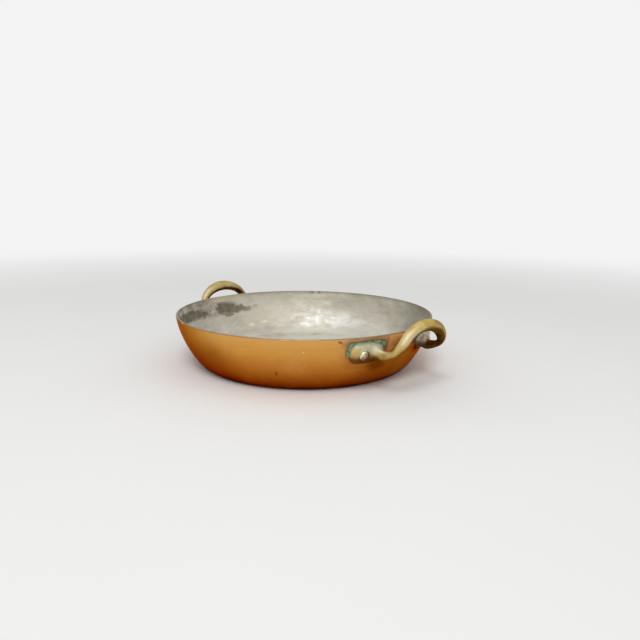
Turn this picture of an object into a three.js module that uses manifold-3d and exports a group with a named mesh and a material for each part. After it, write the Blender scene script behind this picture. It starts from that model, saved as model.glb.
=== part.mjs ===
// Copper gratin pan: a raised copper shell, wiped with tin inside, with two cast brass
// loop handles. Each handle is held by two rivets, whose tails are hammered flush in the wall.
//
// Millimetres. The origin is under the middle of the base, +X runs through the right handle
// and +Z points up.

import * as THREE from 'three';
import { mergeVertices } from 'three/addons/utils/BufferGeometryUtils.js';
import Module from 'manifold-3d';

const wasm = await Module();
wasm.setup();
const { degToRad, lerp } = THREE.MathUtils;

// Pan shell
const rimRadius = 130;
const panHeight = 51;
const baseRadius = 103;
const cornerReach = 7;
const wallReach = 21;
const rimFlare = degToRad(5.7);
const wallThickness = 2;
const liningThickness = 0.4;

// Clearance between pieces that lie on each other
const seatGap = 0.3;

// How far a cutting shape runs past what it cuts
const cutMargin = 1;

// A section of this fullness is an ellipse
const oval = 2;

// Handle: the arch that the hand holds. Heights are counted from the rim.
const gripRise = 8.8;
const gripReach = 21.3;
const loopHalfWidth = 29.4;
const footDrop = 12.4;
const footTuck = 3.2;
const archSpread = degToRad(69);
const gripLean = degToRad(44);
const gripHalfWidth = 6.3;
const gripHalfThickness = 4.9;
const footHalfWidth = 3.4;
const footHalfThickness = 3.7;

// Handle: the pads on the wall, from the rivets to either end
const padDrop = 13.7;
const padTipReach = 12.9;
const padInnerReach = 20.8;
const padTipLength = 9.5;
const padInnerLength = 15;
const padHalfHeight = 9.3;
const padThickness = 3.8;
const padSink = 0.8;
const padFullness = 2.4;

// Handle: the arms. Each runs from the elbow under the arch's end in to its root by the wall,
// then along a neck into the pad, where it dies out as a ridge beside the rivet.
const elbowFlare = 2.6;
const elbowRise = 0.8;
const elbowStandoff = 16.3;
const elbowHalfWidth = 3;
const rootFlare = 0.8;
const rootStandoff = 8.5;
const rootTurn = degToRad(60);
const rootHalfHeight = 4.9;
const rootHalfThickness = 3;
const neckStep = 4;
const neckStandoff = 3.8;
const neckTurn = degToRad(20);
const ridgeHeight = 0.5;
const ridgeHalfHeight = 5.6;
const ridgeSink = 1.5;

// Rivets
const rivetFromRoot = 14.4;
const rivetBelowPad = 1.1;
const rivetHeadRadius = 4.5;
const rivetHeadHeight = 2.7;
const rivetHeadLip = 0.5;
const rivetShankRadius = 2.5;
const rivetTailRadius = 3.9;
const rivetTailLength = 1.2;
const rivetSeatDepth = 0.4;

// How finely the round shapes are divided
const panSegments = 72;
const wallSteps = 11;
const rimSteps = 4;
const sectionPoints = 16;
const stationSteps = 3;
const tipSteps = 5;
const rivetSegments = 20;
const domeSteps = 5;
const searchSteps = 40;
const weldDistance = 1e-4;

// Materials
const copper = new THREE.MeshStandardMaterial({ color: 0xb8743c, roughness: 0.4, metalness: 1 });
const tin = new THREE.MeshStandardMaterial({ color: 0xb7b2a2, roughness: 0.5, metalness: 1 });
const brass = new THREE.MeshStandardMaterial({ color: 0xc4a862, roughness: 0.38, metalness: 1 });
const rivetCopper = new THREE.MeshStandardMaterial({ color: 0xa8744e, roughness: 0.4, metalness: 1 });

// The wall's outer profile: level where it leaves the base, flared a little at the rim.
const rimRound = wallThickness / 2;
const wallTop = panHeight - rimRound * (1 + Math.sin(rimFlare));
const wallCurve = new THREE.CubicBezierCurve(
  new THREE.Vector2(baseRadius, 0),
  new THREE.Vector2(baseRadius + cornerReach, 0),
  new THREE.Vector2(rimRadius - wallReach * Math.tan(rimFlare), wallTop - wallReach),
  new THREE.Vector2(rimRadius, wallTop),
);

// A point of the profile, moved into the pan by inset, and the profile's outward normal.
function wallPoint(t, inset) {
  const point = wallCurve.getPoint(t);
  const tangent = wallCurve.getTangent(t);
  return new THREE.Vector2(point.x - tangent.y * inset, point.y + tangent.x * inset);
}

function wallNormal(t) {
  const tangent = wallCurve.getTangent(t);
  return new THREE.Vector2(tangent.y, -tangent.x);
}

// Where on the profile the wall is this far below the rim.
function wallAtDrop(drop) {
  let low = 0;
  let high = 1;
  for (let i = 0; i < searchSteps; i += 1) {
    const middle = (low + high) / 2;
    if (wallCurve.getPoint(middle).y < panHeight - drop) {
      low = middle;
    } else {
      high = middle;
    }
  }
  return (low + high) / 2;
}

// The profile from the edge of the base to the rim, moved into the pan by inset.
function wallLine(inset) {
  const points = [];
  for (let i = 0; i <= wallSteps; i += 1) {
    points.push(wallPoint(i / wallSteps, inset));
  }
  return points;
}

// Turns a profile of (radius, height) points about the Z axis.
function turned(profile, segments) {
  const geometry = new THREE.LatheGeometry(profile, segments);
  geometry.rotateX(Math.PI / 2);
  return geometry;
}

function toManifold(geometry) {
  const bare = geometry.clone();
  bare.deleteAttribute('normal');
  bare.deleteAttribute('uv');
  const merged = mergeVertices(bare, weldDistance);
  return new wasm.Manifold(new wasm.Mesh({
    numProp: 3,
    vertProperties: new Float32Array(merged.attributes.position.array),
    triVerts: new Uint32Array(merged.index.array),
  }));
}

function toGeometry(solid) {
  const mesh = solid.getMesh();
  const geometry = new THREE.BufferGeometry();
  geometry.setAttribute('position', new THREE.BufferAttribute(mesh.vertProperties, 3));
  geometry.setIndex(new THREE.BufferAttribute(mesh.triVerts, 1));
  geometry.computeVertexNormals();
  return geometry;
}

// Rivets. Each one's axis is the wall's normal at its place, and its height is counted
// from the outside of the wall.
const rootAlong = loopHalfWidth + rootFlare;
const rivetAlong = rootAlong + rivetFromRoot;

function rivetPlace(side, hand) {
  const t = wallAtDrop(padDrop + rivetBelowPad);
  const point = wallPoint(t, 0);
  const normal = wallNormal(t);
  const angle = side + hand * rivetAlong / rimRadius;
  const outward = new THREE.Vector3(Math.cos(angle) * normal.x, Math.sin(angle) * normal.x, normal.y);
  const origin = new THREE.Vector3(point.x * Math.cos(angle), point.x * Math.sin(angle), point.y);
  const turn = new THREE.Quaternion().setFromUnitVectors(new THREE.Vector3(0, 0, 1), outward);
  return new THREE.Matrix4().compose(origin, turn, new THREE.Vector3(1, 1, 1));
}

const headSeat = padThickness - rivetSeatDepth;

// The shank and its countersunk tail. The clearance widens it into the hole for it.
function shankProfile(clearance, bottom, top) {
  const tailTop = rivetTailLength - wallThickness;
  const slope = (rivetTailRadius - rivetShankRadius) / rivetTailLength;
  const extra = Math.max(-wallThickness - bottom, 0) * slope;
  return [
    new THREE.Vector2(0, bottom),
    new THREE.Vector2(rivetTailRadius + clearance + extra, bottom),
    new THREE.Vector2(rivetShankRadius + clearance, tailTop),
    new THREE.Vector2(rivetShankRadius + clearance, top),
  ];
}

function rivetHole() {
  const top = padThickness + rivetHeadHeight;
  const profile = shankProfile(seatGap, -wallThickness - cutMargin, top);
  profile.push(new THREE.Vector2(0, top));
  return toManifold(turned(profile, rivetSegments));
}

function rivetHeadSeat() {
  const profile = [
    new THREE.Vector2(0, headSeat),
    new THREE.Vector2(rivetHeadRadius + seatGap, headSeat),
    new THREE.Vector2(rivetHeadRadius + seatGap, padThickness + rivetHeadHeight),
    new THREE.Vector2(0, padThickness + rivetHeadHeight),
  ];
  return toManifold(turned(profile, rivetSegments));
}

function rivetGeometry() {
  const underside = headSeat + seatGap;
  const lip = underside + rivetHeadLip;
  const domeHeight = rivetHeadHeight - rivetHeadLip;
  const profile = [
    ...shankProfile(0, -wallThickness, underside),
    new THREE.Vector2(rivetHeadRadius, underside),
  ];
  for (let i = 0; i < domeSteps; i += 1) {
    const angle = (i / domeSteps) * Math.PI / 2;
    profile.push(new THREE.Vector2(
      rivetHeadRadius * Math.cos(angle),
      lip + domeHeight * Math.sin(angle),
    ));
  }
  profile.push(new THREE.Vector2(0, lip + domeHeight));
  return turned(profile, rivetSegments);
}

const sides = { right: 0, left: Math.PI };
const hands = { front: -1, back: 1 };

// The copper shell, with a countersunk hole for each rivet.
function panBodyGeometry() {
  const outside = wallLine(0);
  const inside = wallLine(wallThickness).reverse();
  const rim = [];
  const rimCentre = wallPoint(1, rimRound);
  for (let i = 1; i < rimSteps; i += 1) {
    const angle = -rimFlare + (i / rimSteps) * Math.PI;
    rim.push(new THREE.Vector2(
      rimCentre.x + rimRound * Math.cos(angle),
      rimCentre.y + rimRound * Math.sin(angle),
    ));
  }
  const profile = [
    new THREE.Vector2(0, 0),
    ...outside,
    ...rim,
    ...inside,
    new THREE.Vector2(0, wallThickness),
  ];
  let solid = toManifold(turned(profile, panSegments));
  for (const side of Object.values(sides)) {
    for (const hand of Object.values(hands)) {
      solid = solid.subtract(rivetHole().transform(rivetPlace(side, hand).elements));
    }
  }
  return toGeometry(solid);
}

// The tin skin, a seat gap inside the copper. It runs over the rivets' tails.
function liningGeometry() {
  const outerInset = wallThickness + seatGap;
  const innerInset = outerInset + liningThickness;
  const profile = [
    new THREE.Vector2(0, outerInset),
    ...wallLine(outerInset),
    ...wallLine(innerInset).reverse(),
    new THREE.Vector2(0, innerInset),
  ];
  return turned(profile, panSegments);
}

// A station of a loft: where its middle runs, which way its front looks, and its half height,
// half thickness and fullness. A front turns from the wall's normal, at a turn of 0, to face
// along the wall away from the loop's middle.
function onWall(along, drop, standoff, turn, halfHeight, halfThickness, fullness) {
  const t = wallAtDrop(drop);
  const point = wallPoint(t, -standoff);
  const normal = wallNormal(t);
  const angle = along / rimRadius;
  const outward = new THREE.Vector3(normal.x * Math.cos(angle), normal.x * Math.sin(angle), normal.y);
  const away = new THREE.Vector3(-Math.sin(angle), Math.cos(angle), 0);
  return {
    point: new THREE.Vector3(point.x * Math.cos(angle), point.x * Math.sin(angle), point.y),
    front: outward.multiplyScalar(Math.cos(turn)).addScaledVector(away, Math.sin(turn)),
    size: new THREE.Vector3(halfHeight, halfThickness, fullness),
  };
}

// The station where an arm turns up into the arch.
function atElbow() {
  const drop = padDrop - elbowRise;
  const wallRadius = wallPoint(wallAtDrop(drop), 0).x;
  return {
    point: new THREE.Vector3(wallRadius + elbowStandoff, loopHalfWidth + elbowFlare, panHeight - drop),
    front: new THREE.Vector3(0, 1, 0),
    size: new THREE.Vector3(elbowHalfWidth, elbowHalfWidth, oval),
  };
}

// A station on the arch, at an angle from its crown. Its front faces out of the arch, and
// leans over toward the pan at the crown.
function onArch(angle) {
  const share = Math.cos(angle);
  const lean = gripLean * share;
  return {
    point: new THREE.Vector3(
      rimRadius + gripReach - footTuck * (1 - share),
      loopHalfWidth * Math.sin(angle),
      panHeight + gripRise - (gripRise + footDrop) * (1 - share),
    ),
    front: new THREE.Vector3(
      -Math.sin(lean),
      Math.sin(angle) * Math.cos(lean),
      Math.cos(angle) * Math.cos(lean),
    ),
    size: new THREE.Vector3(
      lerp(footHalfWidth, gripHalfWidth, share),
      lerp(footHalfThickness, gripHalfThickness, share),
      oval,
    ),
  };
}

function mirrored(station) {
  const flip = new THREE.Vector3(1, -1, 1);
  return {
    point: station.point.clone().multiply(flip),
    front: station.front.clone().multiply(flip),
    size: station.size.clone(),
  };
}

// One half of the bar, from its end hidden in the pad to the last station before the crown.
function halfBar() {
  const ridge = padThickness + ridgeHeight - rootHalfThickness;
  return [
    onWall(rivetAlong, padDrop, ridge - ridgeSink, 0, ridgeHalfHeight, rootHalfThickness, oval),
    onWall(rootAlong + 2 * neckStep, padDrop, ridge, 0, ridgeHalfHeight, rootHalfThickness, oval),
    onWall(rootAlong + neckStep, padDrop, neckStandoff, neckTurn, ridgeHalfHeight, rootHalfThickness, oval),
    onWall(rootAlong, padDrop, rootStandoff, rootTurn, rootHalfHeight, rootHalfThickness, oval),
    atElbow(),
    onArch(archSpread),
    onArch(archSpread * 2 / 3),
    onArch(archSpread / 3),
  ];
}

function barStations() {
  const half = halfBar();
  return [...half.map(mirrored), onArch(0), ...half.slice().reverse()];
}

// A pad, on the wall around its rivet. Its middle is sunk in the wall, so that its edges meet
// the wall square.
function padStations() {
  const tip = rivetAlong + padTipReach;
  const inner = rivetAlong - padInnerReach;
  const alongs = [tip, tip - padTipLength, inner + padInnerLength, inner];
  return alongs.map((along) => onWall(
    along,
    padDrop,
    -padSink,
    0,
    padHalfHeight,
    padThickness + padSink,
    padFullness,
  ));
}

// Where along its stations a loft has its sections: close together in its round ends, which
// are its first and last intervals.
function sectionTimes(intervals) {
  const times = [];
  for (let i = 1; i <= tipSteps; i += 1) {
    times.push(1 - Math.cos((i / tipSteps) * Math.PI / 2));
  }
  for (let i = 1; i < intervals - 1; i += 1) {
    for (let j = 1; j <= stationSteps; j += 1) {
      times.push(i + j / stationSteps);
    }
  }
  for (let i = tipSteps - 1; i >= 1; i -= 1) {
    times.push(intervals - 1 + Math.cos((i / tipSteps) * Math.PI / 2));
  }
  return times;
}

// How far a loft's round end has widened.
function endRound(time, intervals) {
  const left = 1 - Math.min(time, intervals - time, 1);
  return Math.sqrt(1 - left * left);
}

// A closed loft through its stations, with a round end at each.
function loft(stations) {
  const intervals = stations.length - 1;
  const path = new THREE.CatmullRomCurve3(stations.map((station) => station.point));
  const fronts = new THREE.CatmullRomCurve3(stations.map((station) => station.front), false, 'catmullrom');
  const sizes = new THREE.CatmullRomCurve3(stations.map((station) => station.size), false, 'catmullrom');
  const positions = [];
  const times = sectionTimes(intervals);
  for (const time of times) {
    const share = time / intervals;
    const point = path.getPoint(share);
    const tangent = path.getTangent(share);
    const front = fronts.getPoint(share);
    front.addScaledVector(tangent, -front.dot(tangent)).normalize();
    const up = new THREE.Vector3().crossVectors(front, tangent);
    const size = sizes.getPoint(share);
    const round = endRound(time, intervals);
    const power = 2 / size.z;
    for (let i = 0; i < sectionPoints; i += 1) {
      const angle = (i / sectionPoints) * Math.PI * 2;
      const cosine = Math.cos(angle);
      const sine = Math.sin(angle);
      const height = size.x * round * Math.sign(cosine) * Math.abs(cosine) ** power;
      const thickness = size.y * Math.sqrt(round) * Math.sign(sine) * Math.abs(sine) ** power;
      const corner = point.clone().addScaledVector(up, height).addScaledVector(front, thickness);
      positions.push(corner.x, corner.y, corner.z);
    }
  }
  positions.push(...stations[0].point.toArray(), ...stations[intervals].point.toArray());
  const rings = times.length;
  const firstApex = rings * sectionPoints;
  const index = [];
  for (let i = 0; i < sectionPoints; i += 1) {
    const next = (i + 1) % sectionPoints;
    index.push(firstApex, next, i);
    for (let ring = 0; ring < rings - 1; ring += 1) {
      const near = ring * sectionPoints;
      const far = near + sectionPoints;
      index.push(near + i, near + next, far + next);
      index.push(near + i, far + next, far + i);
    }
    const last = (rings - 1) * sectionPoints;
    index.push(firstApex + 1, last + i, last + next);
  }
  const geometry = new THREE.BufferGeometry();
  geometry.setAttribute('position', new THREE.Float32BufferAttribute(positions, 3));
  geometry.setIndex(index);
  return toManifold(geometry);
}

// The wall and all that lies inside it, grown by the seat gap. It shapes the pads' backs.
function wallSeat() {
  const profile = [
    new THREE.Vector2(0, -cutMargin),
    new THREE.Vector2(baseRadius, -cutMargin),
    ...wallLine(-seatGap),
    new THREE.Vector2(rimRadius + seatGap, panHeight + padHalfHeight),
    new THREE.Vector2(0, panHeight + padHalfHeight),
  ];
  return toManifold(turned(profile, panSegments));
}

// A handle, modelled on the +X side of the pan.
function handleGeometry() {
  const pad = padStations();
  let solid = loft(barStations())
    .add(loft(pad.map(mirrored)))
    .add(loft(pad.slice().reverse()))
    .subtract(wallSeat());
  for (const hand of Object.values(hands)) {
    const place = rivetPlace(sides.right, hand).elements;
    solid = solid.subtract(rivetHole().transform(place));
    solid = solid.subtract(rivetHeadSeat().transform(place));
  }
  return toGeometry(solid);
}

function named(name, geometry, material) {
  const mesh = new THREE.Mesh(geometry, material);
  mesh.name = name;
  return mesh;
}

const group = new THREE.Group();
group.add(named('pan_body', panBodyGeometry(), copper));
group.add(named('tin_lining', liningGeometry(), tin));

const handle = handleGeometry();
const rivet = rivetGeometry();
for (const [sideName, side] of Object.entries(sides)) {
  const loop = named(`handle_${sideName}`, handle, brass);
  loop.rotation.z = side;
  group.add(loop);
  for (const [handName, hand] of Object.entries(hands)) {
    const fastener = named(`rivet_${sideName}_${handName}`, rivet, rivetCopper);
    fastener.applyMatrix4(rivetPlace(side, hand));
    group.add(fastener);
  }
}

export default group;
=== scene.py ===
import math

import bpy
from mathutils import Matrix, Vector, noise


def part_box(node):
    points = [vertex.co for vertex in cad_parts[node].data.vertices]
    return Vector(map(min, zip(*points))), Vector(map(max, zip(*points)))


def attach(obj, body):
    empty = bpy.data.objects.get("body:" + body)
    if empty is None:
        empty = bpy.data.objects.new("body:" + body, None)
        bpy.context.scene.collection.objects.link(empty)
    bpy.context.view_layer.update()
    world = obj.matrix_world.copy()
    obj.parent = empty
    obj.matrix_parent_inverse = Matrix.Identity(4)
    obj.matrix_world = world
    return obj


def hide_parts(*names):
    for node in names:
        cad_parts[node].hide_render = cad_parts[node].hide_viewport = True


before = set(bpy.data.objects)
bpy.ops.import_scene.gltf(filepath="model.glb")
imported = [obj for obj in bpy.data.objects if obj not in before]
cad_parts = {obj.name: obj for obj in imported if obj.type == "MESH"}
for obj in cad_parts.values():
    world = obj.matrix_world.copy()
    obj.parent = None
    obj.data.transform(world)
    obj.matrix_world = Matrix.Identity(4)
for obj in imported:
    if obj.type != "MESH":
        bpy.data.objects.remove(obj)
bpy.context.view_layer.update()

# A copper gratin pan, tinned inside, with two cast brass loop handles on two rivets each. Every piece of
# the frame gets a finer one in its place. All is in metres, and sizes are written in millimetres times MM.
MM = 0.001

# Pan
RIM_RADIUS = 130 * MM
PAN_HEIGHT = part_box("pan_body")[1].z
BASE_RADIUS = 103 * MM
CORNER_REACH = 7 * MM
WALL_REACH = 21 * MM
RIM_FLARE = math.radians(5.7)
WALL_THICKNESS = 2 * MM
DENT_DEPTH = 0.12 * MM
DENT_SIZE = 24 * MM

# Tin: its thickness on the wall and where it thins out over the rim
TIN_THICKNESS = 0.6 * MM
TIN_CLEARANCE = 0.02 * MM
TIN_RIM_THICKNESS = 0.07 * MM
TIN_TAPER = 5 * MM
TIN_EDGE_ANGLE = math.radians(38)
TIN_EDGE_WANDER = math.radians(34)
TIN_EDGE_SIZE = 9 * MM

# Handle: the arch
GRIP_RISE = 8.8 * MM
GRIP_REACH = 21.3 * MM
LOOP_HALF_WIDTH = 29.4 * MM
FOOT_DROP = 12.4 * MM
FOOT_TUCK = 3.2 * MM
ARCH_SPREAD = math.radians(69)
GRIP_LEAN = math.radians(44)
GRIP_HALF_WIDTH = 6.3 * MM
GRIP_HALF_THICKNESS = 4.9 * MM
FOOT_HALF_WIDTH = 3.4 * MM
FOOT_HALF_THICKNESS = 3.7 * MM

# Handle: the pads
PAD_DROP = 13.7 * MM
PAD_TIP_REACH = 12.9 * MM
PAD_INNER_REACH = 20.8 * MM
PAD_TIP_LENGTH = 9.5 * MM
PAD_INNER_LENGTH = 15 * MM
PAD_HALF_HEIGHT = 9.3 * MM
PAD_THICKNESS = 3.8 * MM
PAD_SINK = 0.8 * MM
PAD_FULLNESS = 2.4

# Handle: the arms
ELBOW_FLARE = 2.6 * MM
ELBOW_RISE = 0.8 * MM
ELBOW_STANDOFF = 16.3 * MM
ELBOW_HALF_WIDTH = 3 * MM
ROOT_FLARE = 0.8 * MM
ROOT_ALONG = LOOP_HALF_WIDTH + ROOT_FLARE
ROOT_STANDOFF = 8.5 * MM
ROOT_TURN = math.radians(60)
ROOT_HALF_HEIGHT = 4.9 * MM
ROOT_HALF_THICKNESS = 3 * MM
NECK_STEP = 4 * MM
NECK_STANDOFF = 3.8 * MM
NECK_TURN = math.radians(20)
RIDGE_HEIGHT = 0.5 * MM
RIDGE_HALF_HEIGHT = 5.6 * MM
RIDGE_SINK = 1.5 * MM

# A section of this fullness is an ellipse
OVAL = 2

# Handle: the casting's surface
CAST_VOXEL = 0.42 * MM
CAST_FILLET = 3.6 * MM
CAST_SMOOTHING = 0.5
CAST_SMOOTH_STEPS = 7
CAST_GAP = 0.03 * MM
CAST_WAVE = 0.16 * MM
CAST_WAVE_SIZE = 9 * MM
CAST_PIT = 0.03 * MM
CAST_PIT_SIZE = 1.6 * MM

# Rivets
RIVET_FROM_ROOT = 14.4 * MM
RIVET_BELOW_PAD = 1.1 * MM
RIVET_ALONG = ROOT_ALONG + RIVET_FROM_ROOT
RIVET_DROP = PAD_DROP + RIVET_BELOW_PAD
RIVET_HEAD_RADIUS = 4.5 * MM
RIVET_SEAT_RADIUS = RIVET_HEAD_RADIUS * 0.97
RIVET_HEAD_HEIGHT = 2.7 * MM
RIVET_HEAD_LIP = 0.5 * MM
RIVET_HEAD_SEAT = 3.45 * MM
RIVET_SHANK_RADIUS = 2.5 * MM
RIVET_HAMMER = 0.14 * MM
RIVET_HAMMER_SIZE = 2.6 * MM

# How finely the round shapes are divided
PAN_SEGMENTS = 288
WALL_STEPS = 56
RIM_STEPS = 12
FLOOR_STEPS = 14
TAPER_STEPS = 8
BAR_POINTS = 40
BAR_STEPS = 10
TIP_STEPS = 10
RIVET_SEGMENTS = 40
DOME_STEPS = 12
SEARCH_STEPS = 40

# Splines: the power by which the distance between two points counts, and the step that finds a tangent
CENTRIPETAL = 0.25
UNIFORM = 0
LEAST_SPAN = 1e-12
TANGENT_STEP = 1e-3

# Wear, painted highlight and painted shade: the middle of the right loop's opening, and the directions that
# its marks and painted shade go by at a back pad
LOOP_MIDDLE = (RIM_RADIUS + 2 * MM, 0, PAN_HEIGHT - 9 * MM)
TOWARD_TIP = (0.75, 0.66)
SHADED_SHOULDER_FACES = (0.6, 0.66, 0.45)
SHADED_INNER_FACES = (0, -0.9, -0.44)

# How many of the copper's smears there are to a metre, round the wall and up it
SMEARS_ROUND = 36
SMEARS_UP = 620

# Studio
FLOOR_REACH = 12
FLOOR_FADE = (0.35, 1.6)
FLOOR_COLOURS = ((0.81, 0.81, 0.80, 1), (0.84, 0.84, 0.83, 1))
FLOOR_PATCH = 0.2
BACKGROUND = 0.9
WORLD_LIGHT = 0.68
LIGHT_AZIMUTH = math.radians(36)
LIGHT_ELEVATION = math.radians(54)
LIGHT_DISTANCE = 1.6
LIGHT_SIZE = 0.6
LIGHT_POWER = 9

# Camera: its place around the pan, its aim in radians, and its lens in millimetres
VIEW_AZIMUTH = math.radians(48)
VIEW_ELEVATION = 0.2757
VIEW_DISTANCE = 574.3 * MM
VIEW_HEADING = 0.0286
VIEW_PITCH = 0.207
VIEW_ROLL = -0.0117
SENSOR_WIDTH = 36
FOCAL_LENGTH = 30.375

# The pan's profile: level where it leaves the base, flared a little at the rim
RIM_ROUND = WALL_THICKNESS / 2
WALL_TOP = PAN_HEIGHT - RIM_ROUND * (1 + math.sin(RIM_FLARE))
WALL_CONTROLS = [
    Vector((BASE_RADIUS, 0)),
    Vector((BASE_RADIUS + CORNER_REACH, 0)),
    Vector((RIM_RADIUS - WALL_REACH * math.tan(RIM_FLARE), WALL_TOP - WALL_REACH)),
    Vector((RIM_RADIUS, WALL_TOP)),
]


def wall_curve(t):
    """The profile's point and direction at t, from 0 at the base to 1 at the rim."""
    a, b, c, d = WALL_CONTROLS
    u = 1 - t
    point = a * u**3 + b * (3 * u * u * t) + c * (3 * u * t * t) + d * t**3
    direction = (b - a) * (u * u) + (c - b) * (2 * u * t) + (d - c) * (t * t)
    return point, direction.normalized()


def wall_point(t, inset=0.0):
    """A point of the profile, moved into the pan by inset."""
    point, direction = wall_curve(t)
    return point + Vector((-direction.y, direction.x)) * inset


def wall_normal(t):
    """The profile's normal, out of the pan."""
    direction = wall_curve(t)[1]
    return Vector((direction.y, -direction.x))


def wall_at_height(height):
    """Where on the profile the wall has this height."""
    low, high = 0.0, 1.0
    for _ in range(SEARCH_STEPS):
        middle = (low + high) / 2
        if wall_curve(middle)[0].y < height:
            low = middle
        else:
            high = middle
    return (low + high) / 2


def wall_at_drop(drop):
    return wall_at_height(PAN_HEIGHT - drop)


def on_rim(angle, radius):
    """A point round the middle of the rim's rounded edge; angle 0 looks out of the pan."""
    middle = wall_point(1, RIM_ROUND)
    return middle + Vector((math.cos(angle), math.sin(angle))) * radius


# Meshes


def make_piece(name, positions, faces, smooth=True):
    mesh = bpy.data.meshes.new(name)
    mesh.from_pydata([tuple(p) for p in positions], [], faces)
    mesh.validate()
    mesh.polygons.foreach_set("use_smooth", [smooth] * len(mesh.polygons))
    mesh.update()
    piece = bpy.data.objects.new(name, mesh)
    bpy.context.scene.collection.objects.link(piece)
    return piece


def spread(start, stop, steps):
    return [start + (stop - start) * i / steps for i in range(steps + 1)]


def revolve(name, profile_at, segments):
    """A closed piece turned about Z. profile_at(angle) gives (radius, height) points from axis to axis."""
    first, *between, last = profile_at(0.0)
    points = len(between)
    positions = []
    for k in range(segments):
        angle = 2 * math.pi * k / segments
        for point in profile_at(angle)[1:-1]:
            positions.append((point.x * math.cos(angle), point.x * math.sin(angle), point.y))
    apex = len(positions)
    positions += [(0, 0, first.y), (0, 0, last.y)]
    columns = [(k * points, (k + 1) % segments * points) for k in range(segments)]
    faces = []
    for here, there in columns:
        for i in range(points - 1):
            faces.append((here + i, there + i, there + i + 1, here + i + 1))
    for here, there in columns:
        faces.append((apex, there, here))
        faces.append((apex + 1, here + points - 1, there + points - 1))
    return make_piece(name, positions, faces)


def finish_piece(piece, replaced, material):
    """Gives a piece its material, and stands it in for a node of the frame."""
    piece.data.materials.clear()
    piece.data.materials.append(material)
    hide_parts(replaced)
    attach(piece, "root")


# The pan


def shell_profile(angle):
    """Copper: along the underside, up the outside, over the rim, down the inside and back to the middle."""
    points = [Vector((r, 0)) for r in spread(0, BASE_RADIUS, FLOOR_STEPS)]
    points += [wall_point(t) for t in spread(0, 1, WALL_STEPS)[1:]]
    points += [on_rim(a, RIM_ROUND) for a in spread(-RIM_FLARE, math.pi - RIM_FLARE, RIM_STEPS)[1:-1]]
    points += [wall_point(t, WALL_THICKNESS) for t in spread(1, 0, WALL_STEPS)]
    points += [Vector((r, WALL_THICKNESS)) for r in spread(BASE_RADIUS, 0, FLOOR_STEPS)[1:]]
    return points


def dent(piece):
    """Shallow hand-made waves in the outside of the wall, always inward, and none at the base or rim."""
    for vertex in piece.data.vertices:
        place = vertex.co
        share = place.z / PAN_HEIGHT
        fade = max(0.0, 4 * share * (1 - share))
        outside = place.xy.length - wall_curve(wall_at_height(place.z))[0].x
        if fade > 0 and outside > -RIM_ROUND:
            depth = 0.5 + 0.5 * noise.noise(place / DENT_SIZE)
            place.xy -= place.xy.normalized() * (DENT_DEPTH * depth * fade)


def make_shell():
    piece = revolve("copper_shell", shell_profile, PAN_SEGMENTS)
    dent(piece)
    return piece


def tin_depth(t):
    """The tin's thickness along the wall: it thins out just under the rim."""
    below = (1 - t) * PAN_HEIGHT
    share = min(below / TIN_TAPER, 1)
    return TIN_RIM_THICKNESS + (TIN_THICKNESS - TIN_RIM_THICKNESS) * share * share * (3 - 2 * share)


def tin_profile(angle):
    """Tin: its underside from the middle out to an uneven wiped edge over the rim, then back on top."""
    rim = Vector((math.cos(angle), math.sin(angle), 0)) * RIM_RADIUS
    edge = TIN_EDGE_ANGLE + TIN_EDGE_WANDER * noise.noise(rim / TIN_EDGE_SIZE)
    steps = spread(0, 1, WALL_STEPS)
    over = spread(edge, math.pi - RIM_FLARE, RIM_STEPS)
    under = WALL_THICKNESS + TIN_CLEARANCE
    floor = spread(0, BASE_RADIUS, FLOOR_STEPS)
    points = [Vector((r, under)) for r in floor]
    points += [wall_point(t, under) for t in steps[1:]]
    points += [on_rim(a, RIM_ROUND + TIN_CLEARANCE / 2) for a in reversed(over[:-1])]
    points += [on_rim(a, RIM_ROUND + TIN_RIM_THICKNESS) for a in over[:-1]]
    points += [wall_point(t, WALL_THICKNESS + tin_depth(t)) for t in reversed(steps[1:])]
    points += [Vector((r, WALL_THICKNESS + TIN_THICKNESS)) for r in reversed(floor)]
    return points


# The handles


def on_wall(along, drop, standoff, turn, half_height, half_thickness, fullness):
    """A station beside the wall: middle, front, and (half height, half thickness, fullness)."""
    t = wall_at_drop(drop)
    point = wall_point(t, -standoff)
    normal = wall_normal(t)
    angle = along / RIM_RADIUS
    outward = Vector((normal.x * math.cos(angle), normal.x * math.sin(angle), normal.y))
    away = Vector((-math.sin(angle), math.cos(angle), 0))
    return (
        Vector((point.x * math.cos(angle), point.x * math.sin(angle), point.y)),
        outward * math.cos(turn) + away * math.sin(turn),
        Vector((half_height, half_thickness, fullness)),
    )


def at_elbow():
    """The station where an arm turns up into the arch."""
    drop = PAD_DROP - ELBOW_RISE
    reach = wall_point(wall_at_drop(drop)).x + ELBOW_STANDOFF
    return (
        Vector((reach, LOOP_HALF_WIDTH + ELBOW_FLARE, PAN_HEIGHT - drop)),
        Vector((0, 1, 0)),
        Vector((ELBOW_HALF_WIDTH, ELBOW_HALF_WIDTH, OVAL)),
    )


def on_arch(angle):
    """A station on the arch, at an angle from its crown. Its front leans over the pan at the crown."""
    share = math.cos(angle)
    lean = GRIP_LEAN * share
    return (
        Vector((
            RIM_RADIUS + GRIP_REACH - FOOT_TUCK * (1 - share),
            LOOP_HALF_WIDTH * math.sin(angle),
            PAN_HEIGHT + GRIP_RISE - (GRIP_RISE + FOOT_DROP) * (1 - share),
        )),
        Vector((-math.sin(lean), math.sin(angle) * math.cos(lean), math.cos(angle) * math.cos(lean))),
        Vector((
            FOOT_HALF_WIDTH + (GRIP_HALF_WIDTH - FOOT_HALF_WIDTH) * share,
            FOOT_HALF_THICKNESS + (GRIP_HALF_THICKNESS - FOOT_HALF_THICKNESS) * share,
            OVAL,
        )),
    )


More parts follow.
